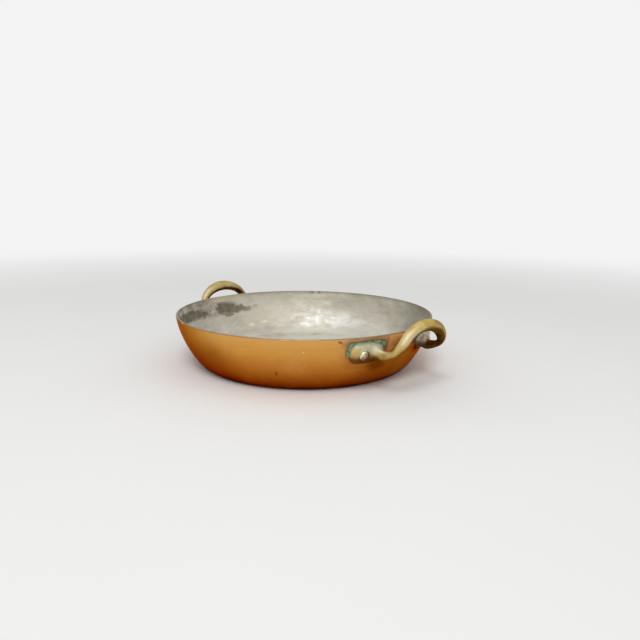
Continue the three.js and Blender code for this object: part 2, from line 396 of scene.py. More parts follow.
def mirrored(station):
    """The station on the other side of the loop's middle."""
    middle, front, size = station
    return (Vector((middle.x, -middle.y, middle.z)), Vector((front.x, -front.y, front.z)), size)


def bar_stations():
    """The bar, from its end hidden in the front pad, through the arch, to the one in the back pad."""
    ridge = PAD_THICKNESS + RIDGE_HEIGHT - ROOT_HALF_THICKNESS
    ridge_size = (RIDGE_HALF_HEIGHT, ROOT_HALF_THICKNESS, OVAL)
    root_size = (ROOT_HALF_HEIGHT, ROOT_HALF_THICKNESS, OVAL)
    half = [
        on_wall(RIVET_ALONG, PAD_DROP, ridge - RIDGE_SINK, 0, *ridge_size),
        on_wall(ROOT_ALONG + 2 * NECK_STEP, PAD_DROP, ridge, 0, *ridge_size),
        on_wall(ROOT_ALONG + NECK_STEP, PAD_DROP, NECK_STANDOFF, NECK_TURN, *ridge_size),
        on_wall(ROOT_ALONG, PAD_DROP, ROOT_STANDOFF, ROOT_TURN, *root_size),
        at_elbow(),
        on_arch(ARCH_SPREAD),
        on_arch(ARCH_SPREAD * 2 / 3),
        on_arch(ARCH_SPREAD / 3),
    ]
    return [mirrored(s) for s in half] + [on_arch(0)] + half[::-1]


def pad_stations():
    """A back pad, on the wall around its rivet. Its middle is sunk in the wall."""
    tip = RIVET_ALONG + PAD_TIP_REACH
    inner = RIVET_ALONG - PAD_INNER_REACH
    size = (PAD_HALF_HEIGHT, PAD_THICKNESS + PAD_SINK, PAD_FULLNESS)
    return [
        on_wall(along, PAD_DROP, -PAD_SINK, 0, *size)
        for along in (inner, inner + PAD_INNER_LENGTH, tip - PAD_TIP_LENGTH, tip)
    ]


def catmull_rom(points, place, power):
    """A point of the spline through points, at place intervals along it."""
    last = len(points) - 1
    i = min(int(place), last - 1)
    w = place - i
    p1, p2 = points[i], points[i + 1]
    p0 = points[i - 1] if i > 0 else p1 * 2 - p2
    p3 = points[i + 2] if i + 2 <= last else p2 * 2 - p1
    pairs = ((p0, p1), (p1, p2), (p2, p3))
    d0, d1, d2 = (max((b - a).length_squared, LEAST_SPAN) ** power for a, b in pairs)
    t1 = ((p1 - p0) / d0 - (p2 - p0) / (d0 + d1) + (p2 - p1) / d1) * d1
    t2 = ((p2 - p1) / d1 - (p3 - p1) / (d1 + d2) + (p3 - p2) / d2) * d1
    return p1 + t1 * w + (p2 * 3 - p1 * 3 - t1 * 2 - t2) * w**2 + (p1 * 2 - p2 * 2 + t1 + t2) * w**3


def section_places(intervals):
    """Where a loft has its sections: close together in its first and last intervals, its round ends."""
    quarter = math.pi / 2
    first = [1 - math.cos(i / TIP_STEPS * quarter) for i in range(1, TIP_STEPS + 1)]
    middle = [1 + i / BAR_STEPS for i in range(1, (intervals - 2) * BAR_STEPS + 1)]
    last = [intervals - place for place in reversed(first[:-1])]
    return first + middle + last


def loft(name, stations):
    """A closed loft through its stations, with a round end at each."""
    middles, fronts, sizes = ([s[k] for s in stations] for k in range(3))
    intervals = len(stations) - 1
    places = section_places(intervals)
    positions = []
    for place in places:
        middle = catmull_rom(middles, place, CENTRIPETAL)
        ahead = catmull_rom(middles, min(place + TANGENT_STEP, intervals), CENTRIPETAL)
        behind = catmull_rom(middles, max(place - TANGENT_STEP, 0), CENTRIPETAL)
        tangent = (ahead - behind).normalized()
        front = catmull_rom(fronts, place, UNIFORM)
        front = (front - tangent * front.dot(tangent)).normalized()
        up = front.cross(tangent)
        half_height, half_thickness, fullness = catmull_rom(sizes, place, UNIFORM)
        left = 1 - min(place, intervals - place, 1)
        end = math.sqrt(1 - left * left)
        for i in range(BAR_POINTS):
            angle = 2 * math.pi * i / BAR_POINTS
            c, s = math.cos(angle), math.sin(angle)
            height = half_height * end * math.copysign(abs(c) ** (2 / fullness), c)
            thickness = half_thickness * math.sqrt(end) * math.copysign(abs(s) ** (2 / fullness), s)
            positions.append(middle + up * height + front * thickness)
    apex = len(positions)
    positions += [middles[0], middles[-1]]
    last = (len(places) - 1) * BAR_POINTS
    edges = [(i, (i + 1) % BAR_POINTS) for i in range(BAR_POINTS)]
    faces = []
    for near in range(0, last, BAR_POINTS):
        far = near + BAR_POINTS
        faces += [(far + i, far + j, near + j, near + i) for i, j in edges]
    for i, j in edges:
        faces.append((apex, i, j))
        faces.append((apex + 1, last + j, last + i))
    return make_piece(name, positions, faces)


def applied(piece, modifiers):
    """The piece's mesh after the given modifiers, each a (kind, settings) pair, in order."""
    for kind, settings in modifiers:
        modifier = piece.modifiers.new(kind, kind)
        for key, value in settings.items():
            setattr(modifier, key, value)
    graph = bpy.context.evaluated_depsgraph_get()
    mesh = bpy.data.meshes.new_from_object(piece.evaluated_get(graph))
    piece.modifiers.clear()
    return mesh


def joined(pieces):
    """One piece of all the pieces' faces. The pieces are deleted."""
    positions, faces = [], []
    for piece in pieces:
        start = len(positions)
        positions += [v.co.copy() for v in piece.data.vertices]
        faces += [tuple(start + i for i in polygon.vertices) for polygon in piece.data.polygons]
        bpy.data.objects.remove(piece)
    return make_piece("joined_parts", positions, faces)


def weather(mesh):
    """The casting's uneven surface: slow waves from the mould and filing, and fine pits."""
    mesh.update()
    normals = [v.normal.copy() for v in mesh.vertices]
    for vertex, normal in zip(mesh.vertices, normals):
        wave = noise.noise(vertex.co / CAST_WAVE_SIZE) - 1
        pit = noise.noise(vertex.co / CAST_PIT_SIZE) - 1
        vertex.co += normal * (CAST_WAVE / 2 * wave + CAST_PIT / 2 * pit)


def seat_on_wall(mesh):
    """Moves what lies in the wall out to its surface, which shapes the backs of the pads."""
    for vertex in mesh.vertices:
        place = vertex.co
        wall = wall_curve(wall_at_height(place.z))[0].x + CAST_GAP
        radius = place.xy.length
        if radius < wall:
            place.xy *= wall / radius


def cast_handle_mesh():
    """The right handle: a bar and two pads, run together as one casting.

    The joined shape is grown, remeshed and shrunk again, which leaves a fillet in each inside corner.
    """
    pad = pad_stations()
    rough = joined([
        loft("bar", bar_stations()),
        loft("back_pad", pad),
        loft("front_pad", [mirrored(s) for s in reversed(pad)]),
    ])
    remesh = ("REMESH", {"mode": "VOXEL", "voxel_size": CAST_VOXEL, "use_smooth_shade": True})
    smooth = ("SMOOTH", {"factor": CAST_SMOOTHING, "iterations": CAST_SMOOTH_STEPS})
    grow = ("DISPLACE", {"strength": CAST_FILLET, "mid_level": 0})
    shrink = ("DISPLACE", {"strength": -CAST_FILLET, "mid_level": 0})
    mesh = applied(rough, [remesh, smooth, grow, remesh, smooth, shrink, smooth, smooth])
    bpy.data.objects.remove(rough)
    weather(mesh)
    seat_on_wall(mesh)
    return mesh


def make_handle(side, cast, turn):
    """A copy of the cast mesh, turned to its side of the pan."""
    mesh = cast.copy()
    mesh.transform(Matrix.Rotation(turn, 4, "Z"))
    mesh.update()
    mesh.name = f"handle_casting_{side}"
    piece = bpy.data.objects.new(mesh.name, mesh)
    bpy.context.scene.collection.objects.link(piece)
    return piece


# The rivets


def rivet_place(turn, hand):
    """Where a rivet's axis leaves the wall, with Z along it. hand is -1 at the front and 1 at the back."""
    t = wall_at_drop(RIVET_DROP)
    point = wall_point(t)
    normal = wall_normal(t)
    angle = turn + hand * RIVET_ALONG / RIM_RADIUS
    outward = Vector((math.cos(angle) * normal.x, math.sin(angle) * normal.x, normal.y))
    origin = Vector((point.x * math.cos(angle), point.x * math.sin(angle), point.y))
    return Matrix.Translation(origin) @ Vector((0, 0, 1)).rotation_difference(outward).to_matrix().to_4x4()


def rivet_profile(angle):
    """A shank through the wall and a domed head. It is the same at every angle."""
    top = RIVET_HEAD_SEAT + RIVET_HEAD_HEIGHT
    lip = RIVET_HEAD_SEAT + RIVET_HEAD_LIP
    points = [
        Vector((0, -WALL_THICKNESS)),
        Vector((RIVET_SHANK_RADIUS, -WALL_THICKNESS)),
        Vector((RIVET_SHANK_RADIUS, RIVET_HEAD_SEAT)),
        Vector((RIVET_SEAT_RADIUS, RIVET_HEAD_SEAT)),
    ]
    for i in range(DOME_STEPS):
        a = i / DOME_STEPS * math.pi / 2
        points.append(Vector((RIVET_HEAD_RADIUS * math.cos(a), lip + (top - lip) * math.sin(a))))
    points.append(Vector((0, top)))
    return points


def make_rivet(side, turn, hand_name, hand):
    """A rivet with a hammered dome; each one's hammer marks differ."""
    piece = revolve(f"rivet_head_{side}_{hand_name}", rivet_profile, RIVET_SEGMENTS)
    place = rivet_place(turn, hand)
    piece.data.transform(place)
    piece.data.update()
    outward = place.to_3x3() @ Vector((0, 0, 1))
    for vertex in piece.data.vertices:
        above = (vertex.co - place.translation).dot(outward) - RIVET_HEAD_SEAT
        if above > RIVET_HEAD_LIP:
            vertex.co += outward * (RIVET_HAMMER * (noise.noise(vertex.co / RIVET_HAMMER_SIZE) - 0.5))
    return piece


# Materials


def srgb(red, green, blue):
    """A colour as seen, from 0 to 255 a channel, as linear light."""
    def linear(value):
        value /= 255
        return value / 12.92 if value <= 0.04045 else ((value + 0.055) / 1.055) ** 2.4
    return (linear(red), linear(green), linear(blue), 1)


class Shader:
    """A node tree, called s below, and short calls for the nodes that it is built from.

    Any input of a call is a socket or a value, and a mask goes from 0 to 1. colour is the surface's own,
    with all that has been laid over it so far.
    """

    # The colour sockets of a Mix node
    MIX_BELOW, MIX_ABOVE, MIX_RESULT = 6, 7, 2

    def __init__(self, owner):
        owner.use_nodes = True
        self.owner = owner
        self.tree = owner.node_tree
        self.tree.nodes.clear()
        self.place = self.node("ShaderNodeTexCoord").outputs["Object"]
        self.x, self.y, self.z = self.split(self.place)

    def node(self, kind, **settings):
        made = self.tree.nodes.new(kind)
        for key, value in settings.items():
            setattr(made, key, value)
        return made

    def put(self, socket, value):
        if isinstance(value, bpy.types.NodeSocket):
            self.tree.links.new(value, socket)
        else:
            socket.default_value = value

    def fed(self, made, values):
        """The node's output, once the values are put into its inputs in turn."""
        for socket, value in zip(made.inputs, values):
            self.put(socket, value)
        return made.outputs[0]

    def split(self, vector):
        made = self.node("ShaderNodeSeparateXYZ")
        self.put(made.inputs[0], vector)
        return made.outputs

    def join(self, x, y, z):
        return self.fed(self.node("ShaderNodeCombineXYZ"), (x, y, z))

    def math(self, operation, *values):
        return self.fed(self.node("ShaderNodeMath", operation=operation), values)

    def chain(self, operation, values):
        result = values[0]
        for value in values[1:]:
            result = self.math(operation, result, value)
        return result

    def times(self, *values):
        return self.chain("MULTIPLY", values)

    def plus(self, *values):
        return self.chain("ADD", values)

    def most(self, *values):
        return self.chain("MAXIMUM", values)

    def without(self, *masks):
        """What the product of the masks leaves of 1."""
        return self.math("SUBTRACT", 1, self.times(*masks))

    def length(self, a, b):
        return self.math("SQRT", self.plus(self.times(a, a), self.times(b, b)))

    def vector(self, operation, a, b=(0, 0, 0)):
        made = self.node("ShaderNodeVectorMath", operation=operation)
        self.put(made.inputs[0], a)
        self.put(made.inputs[1], b)
        return made.outputs["Value" if operation in ("LENGTH", "DOT_PRODUCT") else "Vector"]

    def step(self, value, start, stop):
        """A smooth step from 0 to 1 as value goes from start to stop."""
        made = self.node("ShaderNodeMapRange", interpolation_type="SMOOTHSTEP")
        return self.fed(made, (value, start, stop))

    def band(self, value, bottom, low, high, top):
        """1 where value is from low to high, and less out to bottom and to top."""
        return self.times(self.step(value, bottom, low), self.step(value, top, high))

    def noise(self, size, detail=3.0, vector=None, roughness=0.55):
        """Soft noise, mostly from 0.3 to 0.7, with features of about this size."""
        made = self.node("ShaderNodeTexNoise")
        self.put(made.inputs["Vector"], self.place if vector is None else vector)
        self.put(made.inputs["Scale"], 1 / size)
        self.put(made.inputs["Detail"], detail)
        self.put(made.inputs["Roughness"], roughness)
        return made.outputs[0]

    def stray(self, size, amount, detail=3.0):
        """Noise about zero that reaches roughly amount to either side."""
        return self.times(self.plus(self.noise(size, detail), -0.5), 4 * amount)

    def blotches(self, size, start, stop, **settings):
        """Patches of noise with soft edges, from 0 to 1."""
        return self.step(self.noise(size, **settings), start, stop)

    def ramp(self, value, stops):
        made = self.node("ShaderNodeValToRGB")
        elements = made.color_ramp.elements
        while len(elements) < len(stops):
            elements.new(0.5)
        for element, (position, colour) in zip(elements, stops):
            element.position = position
            element.color = colour
        self.put(made.inputs[0], value)
        return made.outputs[0]

    def over(self, below, above, *masks):
        """One colour with another over it, as far as the product of the masks says."""
        made = self.node("ShaderNodeMix", data_type="RGBA")
        self.put(made.inputs["Factor"], self.times(*masks))
        self.put(made.inputs[self.MIX_BELOW], below)
        self.put(made.inputs[self.MIX_ABOVE], above)
        return made.outputs[self.MIX_RESULT]

    def lay(self, colour, *masks):
        """Lays a colour over the surface's own."""
        self.colour = self.over(self.colour, colour, *masks)

    def bump(self, height, distance, normal=None):
        made = self.node("ShaderNodeBump")
        self.put(made.inputs["Distance"], distance)
        self.put(made.inputs["Height"], height)
        if normal is not None:
            self.put(made.inputs["Normal"], normal)
        return made.outputs[0]

    def along(self, degrees):
        """Distance round the rim from this angle, less than 0 on one side of it."""
        a = math.radians(degrees)
        ahead = self.vector("DOT_PRODUCT", self.place, (math.cos(a), math.sin(a), 0))
        aside = self.vector("DOT_PRODUCT", self.place, (-math.sin(a), math.cos(a), 0))
        return self.times(self.math("ARCTAN2", aside, ahead), RIM_RADIUS)

    def spot(self, degrees, height, half_along, half_up, ragged=0.0, soft=0.25, slant=0.0):
        """An oval mark on the wall, at an angle round the pan, with its height and its size in millimetres.

        Noise bends and frays it as far as ragged says, against its size. soft is the width of its edge.
        """
        along = self.along(degrees)
        level = self.plus(self.z, -height * MM, self.times(along, -slant))
        across = self.plus(self.math("DIVIDE", along, half_along * MM), self.stray(half_up * MM, ragged, 5))
        up = self.plus(self.math("DIVIDE", level, half_up * MM), self.stray(half_along * MM, ragged, 5))
        frayed = self.plus(self.length(across, up), self.stray(half_up * MM / 3, ragged / 2, 6))
        return self.step(frayed, 1 + soft, 1 - soft)

    def spots(self, rows):
        """One mask of several spots. A row is how strong a spot is, and then what spot() takes."""
        return self.most(*(self.times(self.spot(*shape), strength) for strength, *shape in rows))

    def finish(self, metallic, roughness, normal, edge=(1, 1, 1, 1)):
        surface = self.node("ShaderNodeBsdfPrincipled")
        surface.inputs["Specular Tint"].default_value = edge
        self.put(surface.inputs["Base Color"], self.colour)
        self.put(surface.inputs["Metallic"], metallic)
        self.put(surface.inputs["Roughness"], roughness)
        self.put(surface.inputs["Normal"], normal)
        output = self.node("ShaderNodeOutputMaterial")
        self.put(output.inputs["Surface"], surface.outputs[0])
        return self.owner


class WallShader(Shader):
    """A material's tree that knows where the nearest pad and rivet are.

    round is the distance round the rim from the middle of the nearest loop, up the height above the middle
    of its pads, and reach the distance from the pan's axis. They are alike at all four pads.
    """

    def __init__(self, name):
        super().__init__(bpy.data.materials.new(name))
        self.folded = self.vector("ABSOLUTE", self.place)
        sides = self.split(self.folded)
        self.round = self.times(self.math("ARCTAN2", sides[1], sides[0]), RIM_RADIUS)
        self.up = self.plus(self.z, PAD_DROP - PAN_HEIGHT)
        self.reach = self.length(self.x, self.y)

    def from_rivet(self):
        """Distance from the nearest rivet's axis."""
        place = rivet_place(0, 1)
        axis = place.to_3x3() @ Vector((0, 0, 1))
        arm = self.vector("SUBTRACT", self.folded, tuple(place.translation))
        return self.vector("LENGTH", self.vector("CROSS_PRODUCT", arm, tuple(axis)))

    def toward_tip(self):
        """Distance from the rivet's axis, up and toward the pad's tip."""
        return self.plus(
            self.times(self.plus(self.round, -RIVET_ALONG), TOWARD_TIP[0]),
            self.times(self.plus(self.up, RIVET_DROP - PAD_DROP), TOWARD_TIP[1]))

    def at_front(self):
        return self.step(self.y, 22 * MM, 8 * MM)

    def at_back(self):
        return self.step(self.y, 8 * MM, 20 * MM)

    def beside_loop(self, along, up, half_along, half_up, ragged, soft):
        """An oval mark on the wall near a pad, placed from the loop's middle and the pad's."""
        across = self.math("DIVIDE", self.plus(self.round, -along), half_along)
        level = self.math("DIVIDE", self.plus(self.up, -up), half_up)
        frayed = self.plus(self.length(across, level), self.stray(half_up, ragged, 5))
        return self.step(frayed, 1 + soft, 1 - soft)

    def around_pad(self, ends, sides, squareness, ragged, size):
        """1 on an outline round a pad, less inside it and more outside.

        The outline lies as far outside the pad's ends and sides as ends and sides say.
        """
        tip, inner = RIVET_ALONG + PAD_TIP_REACH, RIVET_ALONG - PAD_INNER_REACH
        along = self.math("DIVIDE", self.plus(self.round, -(tip + inner) / 2), (tip - inner) / 2 + ends)
        up = self.math("DIVIDE", self.up, PAD_HALF_HEIGHT + sides)
        powers = [self.math("POWER", self.math("ABSOLUTE", share), squareness) for share in (along, up)]
        distance = self.math("POWER", self.plus(*powers), 1 / squareness)
        return self.plus(distance, self.stray(size, ragged, 4))

    def verdigris_share(self):
        """How much verdigris there is: little on the inner ends of the back pads, and all elsewhere."""
        return self.without(self.step(self.round, 33 * MM, 26 * MM), self.at_back(), 0.85)


# Copper


def copper_tones(s, smears):
    """Yellow toward the rim and dark toward the base, mostly a painted reflection of the shaded ground,
    with patches, smears, a paler painted reflection facing the camera and painted shade on one side.
    """
    height = s.math("DIVIDE", s.plus(s.z, s.stray(38 * MM, 2.5 * MM, 2)), PAN_HEIGHT)
    # Darker toward the base: mostly a painted reflection of the shaded ground near the pan
    s.colour = s.ramp(height, [
        (0.00, srgb(108, 44, 8)),
        (0.16, srgb(158, 76, 14)),
        (0.42, srgb(200, 129, 51)),
        (0.70, srgb(219, 160, 76)),
        (1.00, srgb(224, 170, 96)),
    ])
    s.lay(srgb(190, 108, 46), s.blotches(34 * MM, 0.48, 0.72, detail=5), 0.3)
    light = s.times(s.blotches(17 * MM, 0.55, 0.78, detail=6), s.step(height, 0.06, 0.4))
    s.lay(srgb(228, 180, 108), light, 0.25)
    # A paler patch where the wall faces the camera: painted reflection
    s.lay(srgb(226, 172, 104), s.spot(-47, 26, 8, 6, 0.6, 0.8), 0.25)
    s.lay(srgb(150, 86, 36), s.step(smears, 0.52, 0.78), 0.14)
    # Painted shade on the side turned from the light, round -118 degrees, and a darker painted patch at -84
    # degrees
    from_shaded_side = s.math("ABSOLUTE", s.plus(s.along(-118), s.stray(50 * MM, 12 * MM)))
    s.lay(srgb(128, 74, 26), s.step(from_shaded_side, 115 * MM, 15 * MM), 0.54)
    s.lay(srgb(120, 60, 14), s.spot(-84, 24, 28, 12, 0.2, 0.7), 0.35)


def copper_by_loops(s):
    """Painted shade and shadow on the wall behind the loops and under the necks, and painted reflected
    light that makes it paler low down at the back.
    """
    # Painted shade on the wall behind the loops, where they shade it
    loop_shade = s.step(s.plus(s.round, s.stray(24 * MM, 7 * MM)), 56 * MM, 30 * MM)
    half_way_up = s.band(s.z, 2 * MM, 8 * MM, 38 * MM, 50 * MM)
    s.lay(srgb(174, 102, 34), loop_shade, half_way_up, 0.8)
    # Painted shadow of the arms on the wall in the middle of each loop
    loop_shadow = s.times(s.step(s.round, 19 * MM, 9 * MM), s.band(s.z, 26 * MM, 36 * MM, 44 * MM, 52 * MM))
    s.lay(srgb(108, 60, 14), loop_shadow, 0.55)
    # Painted shadow of the neck on the wall, at the front
    neck_shadow = s.beside_loop(25.5 * MM, -14 * MM, 10 * MM, 5.5 * MM, 0.1, 0.6)
    s.lay(srgb(76, 28, 4), neck_shadow, s.step(s.y, 0, -16 * MM), 0.5)
    # Painted reflected light: paler copper low down at the back of each loop
    low_at_back = s.times(s.step(s.y, -6 * MM, 14 * MM), s.step(s.z, 34 * MM, 24 * MM))
    paler = s.times(low_at_back, s.step(s.round, 66 * MM, 16 * MM))
    s.lay(srgb(208, 164, 92), paler, half_way_up, 0.32)


def copper_by_pads(s):
    """Stains, dirt, painted shade below the pads and a crust of verdigris round the pads. Returns how dull
    they make the copper.
    """
    near = s.step(s.around_pad(5 * MM, 5 * MM, 3, 0.14, 11 * MM), 1.3, 0.85)
    below = s.step(s.up, 2 * MM, -6 * MM)
    beside_pad = s.beside_loop(17 * MM, 5 * MM, 9 * MM, 9 * MM, 0.5, 0.4)
    stained = s.most(s.times(near, s.step(s.up, -8 * MM, 1 * MM)), beside_pad)
    s.lay(srgb(192, 140, 98), stained, s.blotches(9 * MM, 0.38, 0.6, detail=5), 0.75)
    streak = s.beside_loop(20.5 * MM, 2 * MM, 2 * MM, 8 * MM, 0.4, 0.8)
    s.lay(srgb(126, 66, 24), streak, 0.5)
    # Painted shade on the wall below the pads
    s.lay(srgb(112, 52, 14), near, below, 0.25)

    dusty = s.step(s.around_pad(4 * MM, 3 * MM, 4, 0.1, 6 * MM), 1.25, 0.98)
    s.lay(srgb(128, 112, 88), dusty, s.step(s.up, 3 * MM, 8 * MM), 0.55)
    above = s.step(s.plus(s.up, s.stray(5 * MM, 1.5 * MM)), -5 * MM, -1 * MM)
    dirty = s.times(s.step(s.around_pad(2 * MM, 1.1 * MM, 4.5, 0.07, 5 * MM), 1.14, 0.99), above, 0.7)
    s.lay(srgb(84, 70, 46), dirty)
    # Painted shadow just under the pads' edges, with some grime
    shaded = s.step(s.around_pad(-1.4 * MM, 0.7 * MM, 3, 0.05, 5 * MM), 1.22, 0.99)
    s.lay(srgb(66, 26, 2), shaded, below, 0.75)

    crust = s.step(s.around_pad(1.4 * MM, 0.5 * MM, 4.5, 0.07, 5 * MM), 1.06, 0.97)
    crust = s.times(crust, above, s.verdigris_share())
    green = s.over(srgb(84, 106, 88), srgb(138, 172, 146), s.blotches(3.5 * MM, 0.36, 0.58, detail=4))
    s.lay(green, crust, 0.88)
    return s.most(crust, dirty)


def copper_flaws(s):
    """Two small stains, the darker edge of the rim, and a bright fleck and nick."""
    s.lay(srgb(150, 70, 38), s.spot(-29, 48, 2.2, 1.3, 0.3, slant=-0.4), 0.7)
    s.lay(srgb(104, 56, 22), s.spot(-53.5, 18.5, 1.1, 2.2, 0.3), 0.6)
    rim = s.step(s.z, PAN_HEIGHT - 1.4 * MM, PAN_HEIGHT - 0.5 * MM)
    s.lay(srgb(150, 104, 60), rim, 0.6)
    fleck = s.spot(-42.5, 40, 0.7, 0.6)
    nick = s.spot(-101.8, 50.5, 2.4, 1, 0.2)
    s.lay(srgb(235, 225, 200), s.most(fleck, nick), 0.8)


def copper_base(s):
    """The darker base, with scratches straight across it. Returns the base's mask and the scratches."""
    base = s.step(s.z, 0.9 * MM, 0.2 * MM)
    scratches = s.noise(1, 6, vector=s.join(
        s.times(s.x, 1 / (38 * MM)),
        s.times(s.plus(s.y, s.stray(80 * MM, 4 * MM, 1)), 1 / (1.8 * MM)),
        0))
    used = s.over(srgb(88, 54, 32), srgb(124, 80, 48), s.blotches(26 * MM, 0.35, 0.65, detail=6))
    s.lay(used, base, 0.95)
    s.lay(srgb(158, 108, 68), base, s.step(scratches, 0.56, 0.78), 0.35)
    return base, scratches


def copper_material():
    s = WallShader("aged_copper")
    smears = s.noise(1, 4, vector=s.join(s.times(s.along(0), SMEARS_ROUND), 0, s.times(s.z, SMEARS_UP)))
    copper_tones(s, smears)
    copper_by_loops(s)
    dull = copper_by_pads(s)
    copper_flaws(s)
    base, scratches = copper_base(s)
    roughness = s.plus(s.times(s.noise(13 * MM, 4), 0.2), 0.34, s.times(dull, 0.3))
    bumps = s.bump(s.over(smears, scratches, base), 0.01 * MM)
    bumps = s.bump(s.noise(2.5 * MM, 3), 0.02 * MM, bumps)
    bumps = s.bump(s.times(dull, s.noise(1.4 * MM, 4)), 0.4 * MM, bumps)
    return s.finish(s.without(dull, 0.9), roughness, bumps, edge=srgb(200, 128, 66))


# Tin

# Painted highlights on the tin: strength, degrees, height, half length, half height, raggedness, softness
# and slant
TIN_GLINTS = (
    (0.85, 129.4, 20, 6, 7.5, 0.35, 0.6, -0.6),
    (0.75, 135, 14.5, 8, 5.5, 0.35, 0.7, -0.3),
    (0.6, 140.5, 10, 6, 3.5, 0.35, 0.7, -0.6),
    (0.9, 119.5, 17.5, 11, 7.5, 0.35, 0.7),
    (0.75, 112.5, 19, 8, 6.5, 0.35, 0.7),
    (0.7, 104.8, 17, 10, 4.5, 0.35, 0.7),
    (0.5, 145, 21, 7, 4, 0.35, 0.7),
    (0.4, 90, 17, 9, 2, 0.35, 0.7),
)

# The blackened stain: a long one that slants down from the rim, and the spots at its lower end
TIN_STAIN = (
    (1, -136, 39.8, 56, 5.6, 0.35, 0.35, 0.09),
    (1, -170.5, 38.5, 10, 6, 0.4, 0.35),
    (0.8, -169.5, 33.5, 7, 3.5, 0.4, 0.35),
    (1, -175, 36.5, 11, 6, 0.4, 0.35),
    (0.8, -174, 30.5, 7, 3.5, 0.4, 0.35),
    (0.9, 179, 34.5, 11, 4.6, 0.4, 0.35),
    (0.65, 174, 33, 9, 3, 0.4, 0.35),
    (0.35, 168, 35.5, 4, 1.5, 0.4, 0.35),
)

# Two dark marks on the rim
TIN_RIM_MARKS = (
    (1, 134, 49.8, 2.4, 1.6, 0.5, 0.6),
    (1, 130, 49.8, 1.8, 1.4, 0.5, 0.6),
)


def tin_wipes(s, floor):
    """Marks of the cloth that wiped the hot tin. They run round the wall, and across the floor."""
    circle = s.split(s.vector("NORMALIZE", s.join(s.x, s.y, 0)))
    run = s.plus(s.z, s.reach, s.stray(26 * MM, 7 * MM))
    round_wall = s.noise(1, 5, roughness=0.6, vector=s.join(
        s.times(circle[0], RIM_RADIUS / (16 * MM)),
        s.times(circle[1], RIM_RADIUS / (16 * MM)),
        s.times(run, 1 / (6 * MM))))
    across_floor = s.noise(1, 5, roughness=0.6, vector=s.join(
        s.times(s.plus(s.x, s.stray(50 * MM, 12 * MM)), 1 / (26 * MM)),
        s.times(s.plus(s.y, s.stray(40 * MM, 12 * MM)), 1 / (9 * MM)),
        0))
    return s.plus(s.times(across_floor, floor), s.times(round_wall, s.without(floor)))


def tin_tones(s, floor, wipes):
    """Grey tin with its wiped marks, a pale floor, and paler and darker sides, with painted highlights on
    the wall and painted shade where the wall meets the floor.
    """
    s.colour = s.ramp(s.noise(26 * MM, 6, roughness=0.6), [
        (0.30, srgb(176, 170, 156)),
        (0.50, srgb(190, 185, 172)),
        (0.70, srgb(204, 200, 190)),
    ])
    s.lay(srgb(220, 217, 207), s.step(wipes, 0.5, 0.74), 0.35)
    s.lay(srgb(158, 151, 134), s.step(wipes, 0.47, 0.3), 0.3)
    specks = s.blotches(4 * MM, 0.56, 0.7, detail=5, roughness=0.65)
    s.lay(srgb(148, 141, 123), specks, 0.2)
    s.lay(srgb(226, 223, 213), floor, s.blotches(34 * MM, 0.25, 0.55), 0.8)
    s.lay(srgb(176, 171, 163), floor, s.blotches(16 * MM, 0.54, 0.7, detail=5), 0.2)
    s.lay(srgb(118, 118, 100), s.spot(48, 36, 52, 28, 0.1, 0.7), 0.5)
    s.lay(srgb(98, 96, 80), s.spot(50, 51, 44, 7, 0.2, 0.7), 0.5)
    s.lay(srgb(212, 205, 186), s.spot(174, 22, 50, 16, 0.15, 0.6), 0.35)
    s.lay(srgb(212, 207, 192), s.spot(160, 36, 34, 14, 0.2, 0.7), 0.4)
    s.lay(srgb(216, 213, 203), s.spot(108, 12, 60, 13, 0.3, 0.8), 0.42)
    # Painted highlights where the far wall reflects the light, broken up by the wipes
    s.lay(srgb(230, 230, 230), s.spots(TIN_GLINTS), s.step(wipes, 0.25, 0.6), 0.66)
    # Painted shade on the wall just above the floor, where the two meet
    corner = s.band(s.z, 2.6 * MM, 3.6 * MM, 5 * MM, 13 * MM)
    s.lay(srgb(176, 171, 158), corner, 0.42)
    s.lay(srgb(222, 219, 208), s.spot(82, 9, 32, 8, 0.2, 0.6), 0.4)
    s.lay(srgb(150, 140, 106), s.spot(112, 42, 70, 12, 0.1, 0.6), 0.14)
    # Two small painted highlights on bumps in the tin
    for degrees, height in ((172.8, 14.6), (163.8, 16.1)):
        s.lay(srgb(228, 223, 204), s.spot(degrees, height, 4, 1.8, 0.5, 0.6), 0.65)


def tin_tarnish(s, wipes, stain):
    """Tarnish by the rim, and the blackened stain."""
    below_rim = s.step(s.plus(s.z, s.stray(14 * MM, 2 * MM)), PAN_HEIGHT - 7 * MM, PAN_HEIGHT - 1 * MM)
    s.lay(srgb(146, 140, 120), below_rim, 0.45)
    rim = s.step(s.z, PAN_HEIGHT - 1.6 * MM, PAN_HEIGHT - 0.6 * MM)
    s.lay(srgb(126, 118, 98), rim, 0.5)
    s.lay(srgb(204, 192, 164), s.spot(186, 47.5, 36, 4, 0.3, 0.5), 0.5)
    tarnish = s.times(s.spot(-137, 47, 56, 7, 0.25, 0.4), s.step(wipes, 0.62, 0.4))
    s.lay(srgb(104, 97, 80), tarnish, 0.65)
    s.lay(srgb(116, 108, 90), s.spot(-156, 39, 16, 8, 0.35, 0.6), 0.35)
    blackened = s.over(srgb(98, 88, 72), srgb(126, 116, 97), s.blotches(7 * MM, 0.35, 0.65, detail=5))
    s.lay(blackened, stain, 0.9)
    s.lay(srgb(92, 76, 64), s.spots(TIN_RIM_MARKS), 0.6)


